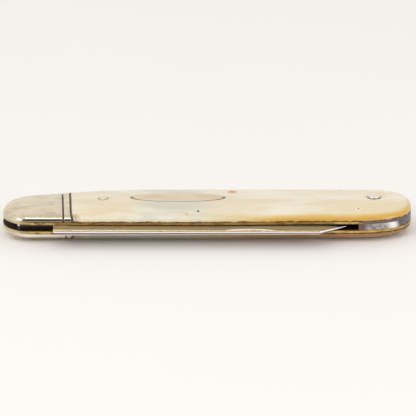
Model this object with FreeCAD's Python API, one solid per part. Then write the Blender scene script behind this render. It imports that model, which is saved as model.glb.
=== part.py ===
"""A folding pocket knife with pearl scales, lying closed on its side.

The design frame has X along the handle from the bolster tip, Y across it from the straight front
edge, where the blade comes out, to the back, and Z up from the middle of the blade slot.
The saved solids are moved so that the origin is under the middle of the whole knife.
"""

import FreeCAD, Part
import math
import os

# Handle, all in millimetres
LENGTH = 82.5           # handle, end to end
WIDTH = 16.1            # handle across, at its widest
SLOT = 1.3              # gap between the liners, which the backspring fills
LINER = 0.6             # thickness of a liner
CROWN = 2.1             # height of a scale or bolster above its liner
SHOULDER = 4.5          # width of the round shoulder beside the flat top
SEAM = 13.5             # where the bolsters end and the scales begin, at mid width
SEAM_SLANT = 3.0        # degrees, the bolsters being longer at the front edge

# Outline of the handle
NOSE_Y = 6.0            # foremost point of the bolster end
NOSE_FRONT = (5.5, 2.0)     # reach of the front corner, and its roundness: 2 is an ellipse
NOSE_BACK = (5.0, 2.5)      # the same for the back corner
TAPER_LENGTH = 30.0     # the back edge falls away over this length
TAPER_DROP = 5.0        # by this much at the tip
TAPER_POWER = 1.7
TAIL_Y = 9.2            # rearmost point of the butt end
TAIL_FRONT = (14.0, 2.8)
TAIL_BACK = (11.5, 2.7)
FRONT_RISE = 0.5        # the front edge draws in by this much towards the butt
FRONT_RISE_FROM = 40.0
FRONT_RISE_OVER = 25.0
NOSE_MIDDLE = 6.0       # the shoulder turns about a point this far from the tip
TAIL_MIDDLE = 8.0       # and about one this far from the butt

# Blade, measured from its pivot when it is shut
PIVOT_X = 6.8
PIVOT_PIN = 2.5         # diameter
TANG_IN = 1.05          # the tang lies this far inside the handle's front edge
TANG_CORNER = 1.3
TANG_END = 3.3          # from the pivot to the shoulder that stops the open blade
PROUD = 2.7             # the shut blade's spine stands this far out of the handle
CLIP_LENGTH = 5.3
CLIP_DEPTH = 3.76
HEEL = 7.8              # from the pivot to the start of the edge
BELLY = 16.0            # radius of the edge where it sweeps up to the point
BELLY_REACH = 8.2       # the straight edge would stop this far short of the point
KICK_END = 4.2          # the flat that the spring holds ends here
KICK_IN = 0.95          # and lies this far short of the line of the edge
CHOIL = 2.0             # depth of the notch between the kick and the heel
CLIP_BACK = 0.78        # thickness of the spine where the clip begins
TIP_BACK = 0.35         # and at the point
EDGE = 0.1              # thickness of the cutting edge
NICK_X = 43.2           # middle of the nail nick, from the pivot
NICK_LENGTH = 10.5
NICK_DEPTH = 0.3
NICK_IN = 0.45          # from the spine to the steep wall of the nick
NICK_TILT = 17.0        # degrees

# Backspring
SPRING_THIN = 4.6       # its height across the handle where it flexes
SPRING_BOSS = 5.3       # and at its pin
BLOCK = 10.9            # length of the block that fills the butt end
BLOCK_FILLET = 3.0
SPRING_PIN = 1.6
SPRING_PIN_X = 46.2
SPRING_PIN_Y = 2.7      # in from the back edge
BUTT_PIN = 1.6
BUTT_PIN_X = 7.5        # in from the butt end
BUTT_PIN_BACK = 1.0    # behind the middle of the handle's width
BUTT_HEAD = 2.4
BUTT_DOME = 0.35
BUTT_SINK = 0.5

# Scales, bolsters and shield
SCALE_PIN = 1.6
SCALE_PIN_X = 6.7       # past the seam
SCALE_PIN_BACK = 0.15   # behind the middle of the handle's width
BOLSTER_RIVET = 1.4
BOLSTER_RIVET_X = 2.9   # before the seam
BOLSTER_RIVET_Y = 3.7   # in from the back edge
BOLSTER_RIVET_RISE = 1.0
GROOVE = 0.4
UPPER_GROOVE_X = 1.5    # before the seam, on the upper bolster
LOWER_GROOVE_X = 1.0    # and on the lower one, which was filed by hand too
GROOVE_DEPTH = 0.25
SHIELD_LENGTH = 18.5
SHIELD_WIDTH = 4.8
SHIELD_X = 21.8         # past the seam
SHIELD_BACK = 0.55      # behind the middle of the handle's width
SHIELD_SINK = 0.5
SHIELD_PROUD = 0.06
SHIELD_GAP = 0.06
SHIELD_PIN = 0.9
SHIELD_PIN_REACH = 6.0  # from the middle of the shield

# Clearances
SIDE_PLAY = 0.05        # between the tang and each liner
PIVOT_PLAY = 0.05
TANG_PLAY = 0.03
WELL_PLAY = 1.0         # between the shut edge and the spring's deepest part
HEEL_PLAY = 0.5         # between the heel of the edge and the spring
POINT_PLAY = 2.4        # between the shut point and the butt block

# Fineness of the modelled outline
END_STEPS = 12
SIDE_STEPS = 16
SHOULDER_STEPS = 6

# Derived
CORE = SLOT / 2 + LINER
HALF = CORE + CROWN
BLADE = SLOT - 2 * SIDE_PLAY
SPINE_Y = -PROUD
EDGE_Y = WIDTH - SPRING_BOSS - WELL_PLAY
BLADE_WIDTH = EDGE_Y - SPINE_Y
TANG_HALF = (EDGE_Y - KICK_IN - TANG_IN) / 2    # the tang is a square of twice this
PIVOT_Y = TANG_IN + TANG_HALF
BLADE_LENGTH = LENGTH - BLOCK - POINT_PLAY - PIVOT_X
SPRING_FLAT_Y = PIVOT_Y + TANG_HALF + TANG_PLAY
SPRING_TIP_X = PIVOT_X - TANG_END
FAR = LENGTH


def back_edge(x):
    left = max(0.0, 1.0 - x / TAPER_LENGTH)
    return WIDTH - TAPER_DROP * left ** TAPER_POWER


def front_edge(x):
    gone = min(1.0, max(0.0, x - FRONT_RISE_FROM) / FRONT_RISE_OVER)
    return FRONT_RISE * gone * gone * (3.0 - 2.0 * gone)


def end_quarter(corner, from_left, edge, middle):
    """Points from an end's foremost point round to where its rounding stops."""
    reach, roundness = corner
    power = 2.0 / roundness
    points = []
    for i in range(END_STEPS):
        turn = math.pi / 2 * i / END_STEPS
        along = reach * (1.0 - math.cos(turn) ** power)
        x = along if from_left else LENGTH - along
        points.append((x, middle + (edge(x) - middle) * math.sin(turn) ** power))
    return points


def side(start, stop, edge):
    step = (stop - start) / SIDE_STEPS
    return [(start + step * i, edge(start + step * i)) for i in range(SIDE_STEPS + 1)]


def outline_points():
    """The handle's outline, once round from the nose: front edge, butt, back edge."""
    nose_front = end_quarter(NOSE_FRONT, True, front_edge, NOSE_Y)
    nose_back = end_quarter(NOSE_BACK, True, back_edge, NOSE_Y)
    tail_front = end_quarter(TAIL_FRONT, False, front_edge, TAIL_Y)
    tail_back = end_quarter(TAIL_BACK, False, back_edge, TAIL_Y)
    points = nose_front + side(NOSE_FRONT[0], LENGTH - TAIL_FRONT[0], front_edge)
    points += tail_front[::-1] + tail_back[1:]
    points += side(LENGTH - TAIL_BACK[0], NOSE_BACK[0], back_edge) + nose_back[:0:-1]
    return points


def inset_point(point, depth):
    """Move a point of the outline in towards the handle's middle line."""
    x, y = point
    middle_x = min(max(x, NOSE_MIDDLE), LENGTH - TAIL_MIDDLE)
    middle_y = NOSE_Y + (TAIL_Y - NOSE_Y) * (middle_x - NOSE_MIDDLE) / (
        LENGTH - NOSE_MIDDLE - TAIL_MIDDLE
    )
    away = math.hypot(x - middle_x, y - middle_y)
    share = depth / away
    return (x + (middle_x - x) * share, y + (middle_y - y) * share)


def outline_wire(depth, z):
    points = outline_points()
    lengths = [0.0]
    for a, b in zip(points, points[1:] + points[:1]):
        lengths.append(lengths[-1] + math.dist(a, b))
    inset = [inset_point(p, depth) for p in points]
    curve = Part.BSplineCurve()
    curve.interpolate(
        Points=[FreeCAD.Vector(x, y, z) for x, y in inset],
        PeriodicFlag=True,
        Parameters=lengths,
    )
    return Part.Wire([curve.toShape()])


def plate(bottom, top, depth=0.0):
    """The handle's outline as a flat plate."""
    face = Part.Face(outline_wire(depth, bottom))
    return face.extrude(FreeCAD.Vector(0, 0, top - bottom))


def crown(lower=0.0):
    """The cushion-shaped body of a scale and its bolster, on top of the upper liner."""
    wires = []
    for i in range(SHOULDER_STEPS + 1):
        turn = math.pi / 2 * i / SHOULDER_STEPS
        depth = SHOULDER * (1.0 - math.cos(turn)) + lower
        wires.append(outline_wire(depth, CORE + (CROWN - lower) * math.sin(turn)))
    return Part.makeLoft(wires, True, False)


def box(x0, x1, y0, y1, z0, z1):
    corner = FreeCAD.Vector(x0, y0, z0)
    return Part.makeBox(x1 - x0, y1 - y0, z1 - z0, corner)


def rod(diameter, x, y, z0, z1):
    return Part.makeCylinder(diameter / 2, z1 - z0, FreeCAD.Vector(x, y, z0))


def below(shape):
    """The same shape on the lower side of the knife."""
    return shape.mirror(FreeCAD.Vector(0, 0, 0), FreeCAD.Vector(0, 0, 1))


def one_solid(shape):
    return max(shape.Solids, key=lambda solid: solid.Volume)


def cut(shape, *tools):
    for tool in tools:
        shape = shape.cut(tool)
    return one_solid(shape)


def rounded_wire(corners):
    """A closed flat wire through corners (x, y, radius), each turned with an arc."""
    edges = []
    ends = []
    count = len(corners)
    for i, (x, y, radius) in enumerate(corners):
        at = FreeCAD.Vector(x, y, 0)
        before = FreeCAD.Vector(*corners[i - 1][:2], 0) - at
        after = FreeCAD.Vector(*corners[(i + 1) % count][:2], 0) - at
        before.normalize()
        after.normalize()
        if radius == 0:
            ends.append((at, at))
            continue
        half = before.getAngle(after) / 2
        start = at + before * (radius / math.tan(half))
        stop = at + after * (radius / math.tan(half))
        inward = (before + after).normalize()
        middle = at + inward * (radius / math.sin(half) - radius)
        edges.append(Part.Arc(start, middle, stop).toShape())
        ends.append((start, stop))
    for i in range(count):
        edges.append(Part.LineSegment(ends[i - 1][1], ends[i][0]).toShape())
    return Part.Wire(Part.__sortEdges__(edges))


def prism(corners, z0, z1):
    face = Part.Face(rounded_wire(corners))
    face.translate(FreeCAD.Vector(0, 0, z0))
    return face.extrude(FreeCAD.Vector(0, 0, z1 - z0))


def blade_plan():
    """The shut blade seen from above."""
    end_x = PIVOT_X - TANG_HALF
    kick_y = PIVOT_Y + TANG_HALF
    kick_x = PIVOT_X + KICK_END
    heel_x = PIVOT_X + HEEL
    choil_y = EDGE_Y - CHOIL
    point_x = PIVOT_X + BLADE_LENGTH
    point_y = SPINE_Y + CLIP_DEPTH
    front_y = PIVOT_Y - TANG_HALF
    shoulder_x = PIVOT_X + TANG_END
    return [
        (end_x, front_y, TANG_CORNER),
        (shoulder_x, front_y, 0.3),
        (shoulder_x, SPINE_Y, 0.2),
        (point_x - CLIP_LENGTH, SPINE_Y, 1.0),
        (point_x, point_y, 0.15),
        (point_x - BELLY_REACH, EDGE_Y, BELLY),
        (heel_x, EDGE_Y, 0.15),
        (heel_x - 1.2, choil_y, 0.5),
        (kick_x, choil_y, 0.5),
        (kick_x, kick_y, 0.2),
        (end_x, kick_y, TANG_CORNER),
    ]


def grind():
    """What the stone takes off the upper face: more at the edge, more at the point."""
    wires = []
    stations = (
        (PIVOT_X + HEEL, BLADE),
        (PIVOT_X + BLADE_LENGTH - CLIP_LENGTH, CLIP_BACK),
        (PIVOT_X + BLADE_LENGTH, TIP_BACK),
    )
    for x, back in stations:
        fall = (back - EDGE) / 2 / BLADE_WIDTH
        corners = [
            (SPINE_Y - 1.0, back / 2 + fall),
            (EDGE_Y + 1.0, EDGE / 2 - fall),
            (EDGE_Y + 1.0, BLADE),
            (SPINE_Y - 1.0, BLADE),
        ]
        points = [FreeCAD.Vector(x, y, z) for y, z in corners]
        wires.append(Part.makePolygon(points + points[:1]))
    return Part.makeLoft(wires, True, True)


def nail_nick():
    """The slice of a tilted wheel that cuts the crescent for a thumbnail."""
    radius = ((NICK_LENGTH / 2) ** 2 + NICK_DEPTH ** 2) / (2 * NICK_DEPTH)
    x = PIVOT_X + NICK_X
    share = (NICK_X - HEEL) / (BLADE_LENGTH - CLIP_LENGTH - HEEL)
    top = (BLADE + (CLIP_BACK - BLADE) * share) / 2
    wall = FreeCAD.Vector(x, SPINE_Y + NICK_IN, top)
    centre = wall + FreeCAD.Vector(0, 0, radius - NICK_DEPTH)
    wheel = Part.makeCylinder(radius, 2.0, centre, FreeCAD.Vector(0, 1, 0))
    wheel.rotate(wall, FreeCAD.Vector(1, 0, 0), NICK_TILT)
    return wheel


def blade():
    shape = prism(blade_plan(), -BLADE / 2, BLADE / 2)
    hole = rod(PIVOT_PIN + 2 * PIVOT_PLAY, PIVOT_X, PIVOT_Y, -BLADE, BLADE)
    stone = grind()
    return cut(shape, hole, stone, below(stone), nail_nick())


def spring_region():
    """The part of the slot that the backspring takes: all but the blade's well."""
    block_x = LENGTH - BLOCK
    ramp_x = PIVOT_X + TANG_HALF * math.sqrt(2)
    heel_y = EDGE_Y + HEEL_PLAY
    rise = heel_y - SPRING_FLAT_Y
    ramp_end = ramp_x + rise
    thin_x = (ramp_end + SPRING_PIN_X) / 2
    return [
        (SPRING_TIP_X, FAR, 0),
        (SPRING_TIP_X, SPRING_FLAT_Y, 0.2),
        (ramp_x, SPRING_FLAT_Y, min(1.0, rise)),
        (ramp_end, heel_y, min(1.5, rise)),
        (thin_x, WIDTH - SPRING_THIN, 20.0),
        (SPRING_PIN_X, WIDTH - SPRING_BOSS, 40.0),
        (block_x - BLOCK_FILLET, WIDTH - SPRING_THIN, 4.0),
        (block_x, WIDTH - SPRING_THIN - BLOCK_FILLET, 2.0),
        (block_x, -FAR, 0),
        (LENGTH + FAR, -FAR, 0),
        (LENGTH + FAR, FAR, 0),
    ]


def spring_pin_place():
    return SPRING_PIN_X, back_edge(SPRING_PIN_X) - SPRING_PIN_Y


def butt_pin_place():
    return LENGTH - BUTT_PIN_X, WIDTH / 2 + BUTT_PIN_BACK


def backspring():
    shape = plate(-SLOT / 2, SLOT / 2).common(prism(spring_region(), -SLOT, SLOT))
    pin_hole = rod(SPRING_PIN, *spring_pin_place(), -SLOT, SLOT)
    butt_hole = rod(BUTT_PIN, *butt_pin_place(), -SLOT, SLOT)
    return cut(shape, pin_hole, butt_hole)


def pivot_pin(whole):
    return one_solid(rod(PIVOT_PIN, PIVOT_X, PIVOT_Y, -FAR, FAR).common(whole))


def spring_pin():
    return rod(SPRING_PIN, *spring_pin_place(), -CORE, CORE)


def butt_pin():
    """A through pin, headed up into a dome on top and into a flush head below."""
    x, y = butt_pin_place()
    shank = rod(BUTT_PIN, x, y, -HALF, HALF)
    foot = rod(BUTT_HEAD, x, y, -HALF, BUTT_SINK - HALF)
    radius = ((BUTT_HEAD / 2) ** 2 + BUTT_DOME ** 2) / (2 * BUTT_DOME)
    ball = Part.makeSphere(radius, FreeCAD.Vector(x, y, HALF + BUTT_DOME - radius))
    dome = ball.common(rod(FAR, x, y, HALF, HALF + FAR))
    return one_solid(shank.fuse([foot, dome]).removeSplitter())


def scale_pin():
    y = WIDTH / 2 + SCALE_PIN_BACK
    return rod(SCALE_PIN, SEAM + SCALE_PIN_X, y, SLOT / 2, HALF)


def bolster_rivet():
    x = SEAM - BOLSTER_RIVET_X
    y = back_edge(x) - BOLSTER_RIVET_Y
    return rod(BOLSTER_RIVET, x, y, SLOT / 2, CORE + BOLSTER_RIVET_RISE)


def ellipse_prism(grow, z0, z1):
    centre = FreeCAD.Vector(SEAM + SHIELD_X, WIDTH / 2 + SHIELD_BACK, z0)
    curve = Part.Ellipse(centre, SHIELD_LENGTH / 2 + grow, SHIELD_WIDTH / 2 + grow)
    face = Part.Face(Part.Wire([curve.toShape()]))
    return face.extrude(FreeCAD.Vector(0, 0, z1 - z0))


def shield():
    return one_solid(ellipse_prism(0.0, HALF - SHIELD_SINK, HALF + SHIELD_PROUD))


def shield_pins():
    pins = []
    for way in (-1, 1):
        x = SEAM + SHIELD_X + way * SHIELD_PIN_REACH
        y = WIDTH / 2 + SHIELD_BACK
        pins.append(rod(SHIELD_PIN, x, y, CORE, HALF - SHIELD_SINK))
    return pins


def liner(pins):
    return cut(plate(SLOT / 2, CORE), *pins)


def bolster_end():
    """Everything on the bolsters' side of the seam."""
    region = box(-FAR, SEAM, -FAR, FAR, 0, FAR)
    middle = FreeCAD.Vector(SEAM, WIDTH / 2, 0)
    region.rotate(middle, FreeCAD.Vector(0, 0, 1), SEAM_SLANT)
    return region


def bolster(body, inner, groove_x, pins):
    shape = body.common(bolster_end())
    x = SEAM - groove_x
    band = box(x - GROOVE / 2, x + GROOVE / 2, -FAR, FAR, CORE, FAR)
    return cut(shape, band.cut(inner), *pins)


def scale(body, pins):
    return cut(body, bolster_end(), *pins)


def build():
    body = crown()
    inner = crown(GROOVE_DEPTH)
    whole = body.fuse([below(body), plate(-CORE, CORE)])
    pivot = pivot_pin(whole)
    rivet = bolster_rivet()
    small_pin = scale_pin()
    centre_pin = spring_pin()
    through_pin = butt_pin()
    hidden = shield_pins()
    pocket = ellipse_prism(SHIELD_GAP, HALF - SHIELD_SINK, HALF + FAR)
    liner_pins = [pivot, rivet, small_pin, centre_pin]
    pieces = {
        "blade": blade(),
        "backspring": backspring(),
        "upper_liner": liner(liner_pins + [through_pin]),
        "lower_liner": below(liner(liner_pins + [below(through_pin)])),
        "upper_bolster": bolster(body, inner, UPPER_GROOVE_X, [pivot, rivet]),
        "lower_bolster": below(bolster(body, inner, LOWER_GROOVE_X, [pivot, rivet])),
        "upper_scale": scale(body, [small_pin, through_pin, pocket] + hidden),
        "lower_scale": below(scale(body, [small_pin, below(through_pin)])),
        "shield": shield(),
        "shield_pins": Part.makeCompound(hidden),
        "pivot_pin": pivot,
        "spring_pin": centre_pin,
        "butt_pin": through_pin,
        "scale_pins": Part.makeCompound([small_pin, below(small_pin)]),
        "bolster_rivets": Part.makeCompound([rivet, below(rivet)]),
    }
    return pieces


def save(pieces):
    os.makedirs("parts", exist_ok=True)
    shift = FreeCAD.Vector(-LENGTH / 2, -(WIDTH + SPINE_Y) / 2, HALF)
    for name, shape in pieces.items():
        moved = shape.copy()
        moved.translate(shift)
        moved.exportStep(f"parts/{name}.step")
        size = moved.BoundBox
        print(
            f"{name}: {size.XLength:.2f} x {size.YLength:.2f} x {size.ZLength:.2f} mm,"
            f" {moved.Volume:.2f} mm3, valid {moved.isValid()}"
        )


save(build())
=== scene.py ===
# %% [markdown]
# # A pearl pocket knife, one piece at a time
#
# This lesson dresses the working model of a small folding knife: one blade, brass liners, pearl
# scales, and a nickel-silver bolster on each side of the pivot end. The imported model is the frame.
# It says how large everything is and what moves; the pieces made here only give it its looks.

# %% Load the frame
import math

import bmesh
import bpy
import numpy as np
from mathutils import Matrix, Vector


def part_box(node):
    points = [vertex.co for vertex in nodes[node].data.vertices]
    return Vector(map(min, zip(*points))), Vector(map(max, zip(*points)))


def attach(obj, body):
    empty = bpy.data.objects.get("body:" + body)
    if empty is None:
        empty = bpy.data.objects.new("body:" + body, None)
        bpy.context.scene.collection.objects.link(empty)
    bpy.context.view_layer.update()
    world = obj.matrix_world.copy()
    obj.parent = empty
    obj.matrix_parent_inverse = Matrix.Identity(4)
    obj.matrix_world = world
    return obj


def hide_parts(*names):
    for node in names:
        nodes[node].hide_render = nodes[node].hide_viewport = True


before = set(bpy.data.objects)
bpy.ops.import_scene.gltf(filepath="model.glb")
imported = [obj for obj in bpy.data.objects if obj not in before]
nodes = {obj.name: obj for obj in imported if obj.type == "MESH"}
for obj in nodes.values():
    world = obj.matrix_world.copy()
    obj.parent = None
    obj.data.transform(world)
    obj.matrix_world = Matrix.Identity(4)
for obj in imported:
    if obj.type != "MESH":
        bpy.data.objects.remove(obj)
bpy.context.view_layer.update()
MM = 0.001

# %% [markdown]
# ## The bench drawing
#
# A cutler draws the handle once and cuts every layer to that line, so the lesson does the same.
# We work in millimetres: x from the bolster tip, y back from the front edge, z up from the middle
# of the blade slot. The main sizes are read from the frame, and one function carries a finished
# drawing into the frame's metres.

# %% Sizes read from the frame
liner_low, liner_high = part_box("upper_liner")
spring_low, spring_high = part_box("backspring")
scale_low, scale_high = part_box("upper_scale")

LENGTH = (liner_high.x - liner_low.x) / MM
WIDTH = (liner_high.y - liner_low.y) / MM
SLOT = (spring_high.z - spring_low.z) / MM
LINER = (liner_high.z - liner_low.z) / MM
CROWN = (scale_high.z - scale_low.z) / MM
CORE = SLOT / 2 + LINER
HALF = CORE + CROWN
ORIGIN = np.array((liner_low.x, liner_low.y, (spring_low.z + spring_high.z) / 2))
print(f"handle {LENGTH:.1f} x {WIDTH:.1f} x {2 * HALF:.1f} mm, slot {SLOT:.1f} mm")


def to_frame(points):
    """Points in drawing millimetres become frame metres: scaled, and shifted to the handle."""
    return np.asarray(points, float) * MM + ORIGIN


def node_middle(name):
    """The middle of a node's box, in drawing millimetres."""
    low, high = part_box(name)
    return ((np.array(low) + np.array(high)) / 2 - ORIGIN) / MM


# %% [markdown]
# ## The outline
#
# The handle's edge is two curves, front and back, as heights over x. Each end is a superellipse:
# the same formula as an ellipse, with a power other than 2 that fills its corners out or draws
# them in. A formula costs nothing to sample finely, and the layers then agree exactly.

# %% Front and back edge
NOSE_Y, TAIL_Y = 6.0, 9.2
NOSE_FRONT, NOSE_BACK = (5.5, 2.0), (5.0, 2.5)
TAIL_FRONT, TAIL_BACK = (14.0, 2.8), (11.5, 2.7)
TAPER_LENGTH, TAPER_DROP, TAPER_POWER = 30.0, 5.0, 1.7
FRONT_RISE, RISE_FROM, RISE_OVER = 0.5, 40.0, 25.0
NOSE_POLE, TAIL_POLE = 6.0, LENGTH - 8.0
SEAM, SEAM_SLANT = 13.5, math.tan(math.radians(3.0))


def smooth(low, high, x):
    """0 below low, 1 above high, and an S-shaped rise between: 3t squared minus 2t cubed."""
    t = np.clip((x - low) / (high - low), 0.0, 1.0)
    return t * t * (3.0 - 2.0 * t)


def rounding(along, corner):
    """Height share of a superellipse, along being the distance in from its end."""
    reach, power = corner
    left = np.clip(1.0 - along / reach, 0.0, 1.0)
    return (1.0 - left ** power) ** (1.0 / power)


def edge_line(x, straight, nose, tail):
    """A straight edge drawn in to the nose's point at one end and to the tail's at the other."""
    y = NOSE_Y + (straight - NOSE_Y) * rounding(x, nose)
    return np.where(x > LENGTH / 2, TAIL_Y + (straight - TAIL_Y) * rounding(LENGTH - x, tail), y)


def front_y(x):
    """The front edge: straight, then drawn in a little towards the tail."""
    straight = FRONT_RISE * smooth(RISE_FROM, RISE_FROM + RISE_OVER, x)
    return edge_line(x, straight, NOSE_FRONT, TAIL_FRONT)


def back_y(x):
    """The back edge: full width, falling away towards the nose as a power of the distance."""
    left = np.clip(1.0 - x / TAPER_LENGTH, 0.0, 1.0)
    return edge_line(x, WIDTH - TAPER_DROP * left ** TAPER_POWER, NOSE_BACK, TAIL_BACK)


# %% Middle line and end stations
def middle_line(x):
    """The line that the shoulders lean towards, stopping short of both ends."""
    pole_x = np.clip(x, NOSE_POLE, TAIL_POLE)
    share = (pole_x - NOSE_POLE) / (TAIL_POLE - NOSE_POLE)
    return np.stack([pole_x, NOSE_Y + (TAIL_Y - NOSE_Y) * share], axis=-1)


END_STEPS = 40
NOSE_CROWDING, TAIL_CROWDING = 2.5, 2.4      # powers that crowd the stations towards each end
nose_x = NOSE_POLE * np.linspace(0, 1, END_STEPS) ** NOSE_CROWDING
tail_x = LENGTH - (LENGTH - TAIL_POLE) * np.linspace(1, 0, END_STEPS) ** TAIL_CROWDING
print("outline sampled at", 2 * END_STEPS, "places round its ends")

# %% [markdown]
# ## Two ways to make a skin
#
# A layer of the handle is a strip of cross-sections. Each section starts under the middle, comes
# out to the edge, and goes back in over the top, so one function makes scales and bolsters. Pins
# and inlays are rings round a centre instead. Both work out whole arrays of points and give the
# mesh its points in one call; points that fall together, as at the ends, are welded afterwards.

# %% Mesh helpers
SHARP = math.radians(32)
WELD = 2e-7


def add_mesh(name, points, faces, rim=None, sharp=SHARP):
    """A mesh object from frame-metre points, welded, closed, facing outwards and shaded smooth."""
    mesh = bpy.data.meshes.new(name)
    mesh.from_pydata(points.reshape(-1, 3), [], faces)
    if rim is not None:
        mesh.attributes.new("rim", "FLOAT", "POINT").data.foreach_set("value", rim.ravel())
    work = bmesh.new()
    work.from_mesh(mesh)
    bmesh.ops.remove_doubles(work, verts=work.verts, dist=WELD)
    bmesh.ops.dissolve_degenerate(work, edges=work.edges, dist=WELD)
    bmesh.ops.recalc_face_normals(work, faces=work.faces)
    work.to_mesh(mesh)
    open_edges = sum(len(e.link_faces) != 2 for e in work.edges)
    work.free()
    mesh.polygons.foreach_set("use_smooth", np.ones(len(mesh.polygons), bool))
    mesh.set_sharp_from_angle(angle=sharp)
    piece = bpy.data.objects.new(name, mesh)
    bpy.context.scene.collection.objects.link(piece)
    print(f"{name}: {len(mesh.polygons)} faces, {open_edges} open edges")
    return piece


def grid_faces(rows, columns, start=0):
    """The four corners of every cell of a grid of points numbered row by row."""
    i, j = np.meshgrid(np.arange(rows - 1), np.arange(columns - 1), indexing="ij")
    corner = start + i * columns + j
    cells = np.stack([corner, corner + 1, corner + columns + 1, corner + columns], axis=-1)
    return cells.reshape(-1, 4)


def dress(piece, body, slot, *replaced):
    """Say what a finished piece rides on and which nodes it replaces; the slot argument is not used."""
    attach(piece, body)
    if replaced:
        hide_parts(*replaced)
    return piece


# %% [markdown]
# ## Scales and bolsters
#
# Both are filed together to one cushion shape: a flat top with a round shoulder, an ellipse in
# section, all the way round. The bolster's bead and groove are cut into that shape, so they are a
# small extra depth that depends on x alone and follows the surface normal. Scale and bolster meet
# at a leaning seam, each with a fine rounding there, which shows as a dark line.

# %% Cushion shape
SHOULDER = 4.5
SEAM_SWEEP, SWEEP_Y = 0.32, 1.8
UNDERSIDE_IN = 0.04      # the lower cushions are this much flatter, so their pin ends can stand proud
SHOULDER_ROWS, TOP_ROWS = 26, 10
turn_up = np.linspace(0, np.pi / 2, SHOULDER_ROWS)
over_land = np.linspace(0, 1, TOP_ROWS)[1:]
print(f"crown {CROWN:.2f} mm over a shoulder {SHOULDER} mm wide")


def cushion_z(x, y):
    """Height of the finished cushion: an ellipse over the shoulder's width, then the flat top."""
    depth = np.clip(np.minimum(y - front_y(x), back_y(x) - y), 0, SHOULDER)
    return CORE + CROWN * np.sqrt(1 - (1 - depth / SHOULDER) ** 2)


def seam_sweep(y):
    """How far the seam is swept towards the tail at the very front: S (1 - y / Y) squared."""
    return SEAM_SWEEP * np.clip(1 - y / SWEEP_Y, 0, 1) ** 2


def stretches(*parts):
    """x stations from (start, stop, step) stretches, without repeats."""
    runs = [np.linspace(a, b, int(round((b - a) / step)) + 1) for a, b, step in parts]
    return np.unique(np.concatenate(runs).round(5))


# %% Cushion maker
def cushion(name, x, cut, side, lean, sweep, capped):
    """Sections over x: depth S(1 - cos t) + cut cos t, height (C - cut) sin t, then the flat top.

    Front and back halves are two grids that meet at the middle line. lean and sweep give how much
    of the seam's slant and sweep a station takes, and the capped end closes with one strip.
    """
    pole = middle_line(x)
    shaved = cut(x)[:, None] * np.ones(len(turn_up))
    crown = CROWN - (UNDERSIDE_IN if side < 0 else 0)
    halves, rims = [], []
    for edge in (np.stack([x, front_y(x)], 1), np.stack([x, back_y(x)], 1)):
        away = np.linalg.norm(pole - edge, axis=1)[:, None]
        up = SHOULDER * (1 - np.cos(turn_up)) + shaved * np.cos(turn_up)
        flat = SHOULDER + (away - SHOULDER) * over_land
        depth = np.concatenate([away, up, flat], axis=1)
        rise = np.concatenate([0 * away, (crown - shaved) * np.sin(turn_up)], axis=1)
        top = np.repeat(rise[:, -1:], len(over_land), axis=1)
        z = side * (CORE + np.concatenate([rise, top], axis=1))
        share = (depth / away)[..., None]
        plan = edge[:, None, :] + (pole - edge)[:, None, :] * share
        slanted = plan[..., 0] + SEAM_SLANT * (WIDTH / 2 - plan[..., 1]) * lean(x)[:, None]
        slanted = slanted + seam_sweep(plan[..., 1]) * sweep(x)[:, None]
        halves.append(np.stack([slanted, plan[..., 1], z], axis=-1))
        rims.append(np.minimum(depth, SHOULDER) * np.ones_like(z))
    rows = halves[0].shape[1]
    count = len(x) * rows
    last = (0 if capped == "first" else len(x) - 1) * rows + np.arange(rows - 1)
    cap = np.stack([last, last + 1, last + 1 + count, last + count], axis=1)
    faces = [grid_faces(len(x), rows), grid_faces(len(x), rows, count)[:, ::-1], cap]
    return add_mesh(name, to_frame(np.stack(halves)), np.concatenate(faces).tolist(), np.stack(rims))


# %% Bolsters
GROOVE_HALF, GROOVE_DEPTH = 0.16, 0.24
BEAD_ROUND, BEAD_DROP = 0.34, 0.28
STOP_SHORT = 0.98        # a quarter round stops a little before it turns straight down
UPPER_GROOVE, LOWER_GROOVE = SEAM - 1.5, SEAM - 1.0


def bolster_cut(groove_x):
    """A flat-bottomed groove at groove_x, and a quarter round where the bead meets the seam."""
    def cut(x):
        groove = GROOVE_DEPTH * np.exp(-((x - groove_x) / GROOVE_HALF) ** 4)
        fall = np.clip((x - SEAM + BEAD_ROUND) / BEAD_ROUND, 0, 1)
        return groove + BEAD_DROP * (1 - np.sqrt(1 - STOP_SHORT * fall ** 2))
    return cut


def bolster_lean(x):
    """A bolster's stations take up the seam's slant over the last stretch before the groove."""
    return smooth(SEAM - 4.5, SEAM - 1.9, x)


def bolster_sweep(x):
    """Only the bead's last stretch sweeps with the seam."""
    return smooth(SEAM - 0.7, SEAM, x)


BEAD_FROM = 11.4         # from here to the seam the stations are close enough for the groove
bolster_x = np.concatenate([
    nose_x[:-1], stretches((NOSE_POLE, BEAD_FROM, 0.3), (BEAD_FROM, SEAM, 0.03)),
])
for name, side, groove_x in (("upper", 1, UPPER_GROOVE), ("lower", -1, LOWER_GROOVE)):
    cut = bolster_cut(groove_x)
    shell = cushion(
        f"{name}_bolster_shell", bolster_x, cut, side, bolster_lean, bolster_sweep, "last")
    dress(shell, "handle", "bolster_silver", f"{name}_bolster")

# %% Pearl scales
SCALE_ROUND = 0.16


def scale_cut(x):
    """A fine quarter round where the scale meets the seam."""
    fall = np.clip((SEAM + SCALE_ROUND - x) / SCALE_ROUND, 0, 1)
    return SCALE_ROUND * (1 - np.sqrt(1 - STOP_SHORT * fall ** 2))


def scale_lean(x):
    """A scale's stations lose the seam's slant over its first stretch."""
    return 1.0 - smooth(SEAM + 0.5, SEAM + 4.0, x)


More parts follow.
